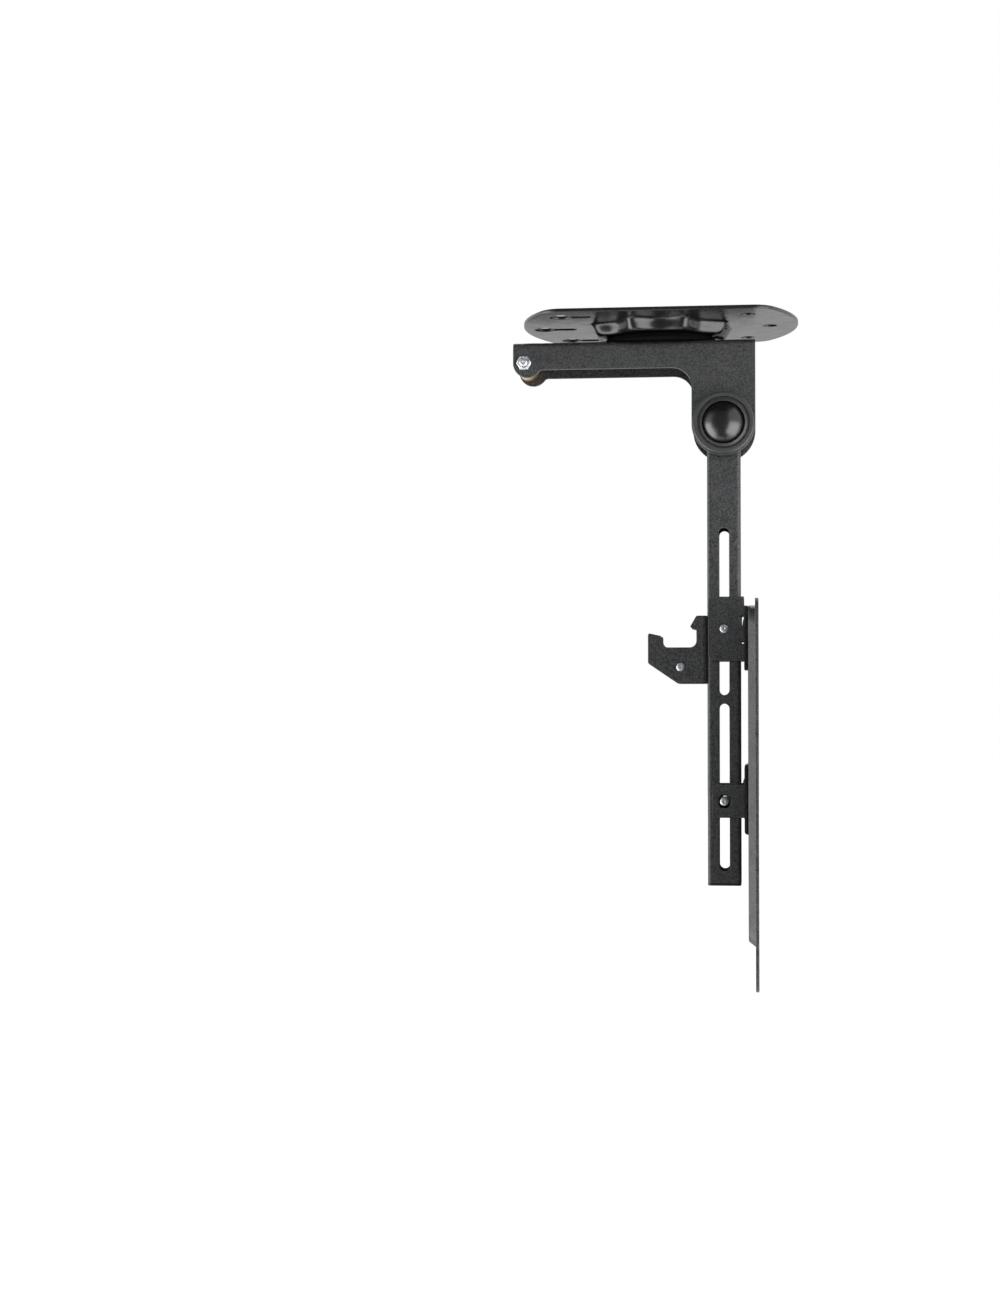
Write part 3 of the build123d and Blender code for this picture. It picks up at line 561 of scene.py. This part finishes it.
ring_edge = []
for step in range(EDGE_STEPS + 1):
    angle = math.pi / 2 * step / EDGE_STEPS
    edge_r = RING_R - RING_EDGE_R * (1 - math.cos(angle))
    ring_edge.append((edge_r, RING_H - RING_EDGE_R * (1 - math.sin(angle))))
ring_outline = [(RING_BORE_R, RING_LIP - EASE), (RING_BORE_R, 0), (RING_R, 0)] + ring_edge
ring_outline += [
    (GROOVE_OUT + EASE, RING_H),
    (GROOVE_OUT, RING_H - EASE),
    (GROOVE_OUT, GROOVE_FLOOR),
    (GROOVE_IN, GROOVE_FLOOR),
    (GROOVE_IN, GROOVE_LIP - EASE),
    (GROOVE_IN - EASE, GROOVE_LIP),
    (RING_BORE_R + EASE, RING_LIP),
    (RING_BORE_R, RING_LIP - EASE),
]

near_cap = turned("near_pivot_cap_turned", cap_outline, 96)
far_cap = copied(near_cap, "far_pivot_cap_turned")
near_ring = turned("near_pivot_ring_turned", ring_outline, 96)
far_ring = copied(near_ring, "far_pivot_ring_turned")
for cover, node_name, turn, side in (
    (near_cap, "near_pivot_cap", TOWARDS_VIEWER, -ARM_HALF),
    (far_cap, "far_pivot_cap", AWAY_FROM_VIEWER, ARM_HALF),
    (near_ring, "near_pivot_ring", TOWARDS_VIEWER, -ARM_HALF),
    (far_ring, "far_pivot_ring", AWAY_FROM_VIEWER, ARM_HALF),
):
    set_down(cover, turn, (PIVOT[0], side, PIVOT[2]))
    stand_for(cover, node_name)


# Stage: pale floor, white surroundings, dim cards that only gloss shows, soft lights all round
FLOOR_DROP = 1.2
FLOOR_SIZE = 60.0
FLOOR_GLOW_NEAR, FLOOR_GLOW_FAR = 0.50, 0.92
FLOOR_NEAR, FLOOR_FAR = 1.2, 3.6
FILL_BELOW, FILL_ABOVE = 0.80, 0.20
FILL_LOW, FILL_HIGH = -0.1, 0.5
FACING_US = (math.pi / 2, 0, 0)
LYING = (0, 0, 0)

# Each card's width and height, place, turn and brightness
CARDS = {
    "front_flag": ((3.8, 3.8), (-0.95, -1.7, 0.7), FACING_US, 0.20),
    "back_card": ((6.0, 3.0), (0, 3.0, -0.6), FACING_US, 0.76),
    "floor_flag": ((1.8, 2.2), (-0.3, -1.4, -1.5), LYING, 0.15),
    "top_flag": ((3.8, 2.4), (-0.4, -0.7, 2.6), LYING, 0.05),
}

# Each light's place, width, height, watts, and whether gloss shows it; the side lights stay below the
# ceiling plate, so that its flat top doesn't mirror them
LIGHTS = {
    "right_box": ((1.05, -0.65, -0.75), 1.5, 1.6, 25, True),
    "left_box": ((-1.20, -0.10, -0.78), 1.2, 1.7, 23, True),
    "back_box": ((0.0, 1.3, 1.2), 1.2, 0.8, 12, True),
    "front_box": ((0.1, -1.9, 0.4), 1.2, 0.8, 18, False),
}


def background_rays(tree):
    """1 for the rays that see the background: the camera's, and those through gloss and glass."""
    rays = add_node(tree, "ShaderNodeLightPath").outputs
    links = {0: rays["Is Camera Ray"], 1: rays["Is Glossy Ray"]}
    gloss = add_node(tree, "ShaderNodeMath", links=links, operation="MAXIMUM").outputs[0]
    links = {0: gloss, 1: rays["Is Transmission Ray"]}
    return add_node(tree, "ShaderNodeMath", links=links, operation="MAXIMUM").outputs[0]


def pale_floor():
    """A matt white floor that keeps soft shadows near the object and fades into the white surroundings."""
    material, tree, coordinates = new_material("pale_floor")
    matt = add_node(tree, "ShaderNodeBsdfDiffuse", {"Color": linear("#e6e6e4")})
    away = add_node(tree, "ShaderNodeVectorMath", links={0: coordinates}, operation="LENGTH")
    level = spread(tree, away.outputs["Value"], FLOOR_GLOW_NEAR, FLOOR_GLOW_FAR, FLOOR_NEAR, FLOOR_FAR)
    glow = add_node(tree, "ShaderNodeEmission", {"Color": linear("#ffffff")}, {"Strength": level})
    dark = add_node(tree, "ShaderNodeEmission", {"Strength": 0.0})
    seen = add_node(tree, "ShaderNodeMixShader", links={0: background_rays(tree)})
    tree.links.new(dark.outputs[0], seen.inputs[1])
    tree.links.new(glow.outputs[0], seen.inputs[2])
    links = {0: matt.outputs[0], 1: seen.outputs[0]}
    close_material(tree, add_node(tree, "ShaderNodeAddShader", links=links))
    return material


def surroundings():
    """White where the background shows, and a weaker light from all round, weakest from above."""
    world = bpy.data.worlds.new("white_studio")
    world.use_nodes = True
    tree = world.node_tree
    tree.nodes.clear()
    upwards = add_node(tree, "ShaderNodeTexCoord").outputs["Generated"]
    height = add_node(tree, "ShaderNodeSeparateXYZ", links={0: upwards}).outputs["Z"]
    level = spread(tree, height, FILL_BELOW, FILL_ABOVE, FILL_LOW, FILL_HIGH)
    fill = add_node(tree, "ShaderNodeBackground", {"Color": linear("#ffffff")}, {"Strength": level})
    white = add_node(tree, "ShaderNodeBackground", {"Color": linear("#ffffff"), "Strength": 1.0})
    mixed = add_node(tree, "ShaderNodeMixShader", links={0: background_rays(tree)})
    tree.links.new(fill.outputs[0], mixed.inputs[1])
    tree.links.new(white.outputs[0], mixed.inputs[2])
    add_node(tree, "ShaderNodeOutputWorld", links={"Surface": mixed.outputs[0]})
    bpy.context.scene.world = world


def gloss_card(name, size, place, turn, level):
    """A dim card outside the picture, which only gloss shows, as the unlit side of the studio."""
    bpy.ops.object.select_all(action="DESELECT")
    bpy.ops.mesh.primitive_plane_add(size=1, location=place, rotation=turn)
    card = bpy.context.object
    card.name = name
    card.scale = (*size, 1)
    card.visible_camera = False
    card.visible_shadow = False
    card.visible_diffuse = False
    material, tree, _ = new_material(name)
    close_material(tree, add_node(tree, "ShaderNodeEmission", {"Strength": level}))
    card.data.materials.append(material)


def soft_box(name, place, width, height, power, in_gloss):
    """A rectangular soft light that faces the middle of the object."""
    light = bpy.data.lights.new(name, "AREA")
    light.shape = "RECTANGLE"
    light.size = width
    light.size_y = height
    light.energy = power
    lamp = bpy.data.objects.new(name, light)
    bpy.context.scene.collection.objects.link(lamp)
    lamp.location = place
    lamp.visible_glossy = in_gloss
    lamp.rotation_euler = (middle - Vector(place)).to_track_quat("-Z", "Y").to_euler()


def camera():
    """The photograph's viewpoint, found by fitting points of the CAD model to it."""
    lens_px = 2190.67
    picture_h_px = 1300
    place = (0.05668, -1.3309, -0.2288)
    turn = 0.116
    rise = 0.023
    data = bpy.data.cameras.new("camera")
    data.sensor_fit = "VERTICAL"
    data.sensor_height = 36.0
    data.lens = data.sensor_height * lens_px / picture_h_px
    eye = bpy.data.objects.new("camera", data)
    bpy.context.scene.collection.objects.link(eye)
    eye.location = place
    eye.rotation_euler = Euler((math.pi / 2 + rise, 0, turn))
    bpy.context.scene.camera = eye


middle = (Vector(cad_box[0]) + Vector(cad_box[1])) / 2
bpy.ops.object.select_all(action="DESELECT")
bpy.ops.mesh.primitive_plane_add(size=FLOOR_SIZE, location=(0, 0, cad_box[0][2] - FLOOR_DROP))
floor = bpy.context.object
floor.name = "floor"
floor.data.materials.append(pale_floor())
surroundings()
for name, card in CARDS.items():
    gloss_card(name, *card)
for name, light in LIGHTS.items():
    soft_box(name, *light)
camera()
bpy.context.scene.view_settings.view_transform = "Standard"
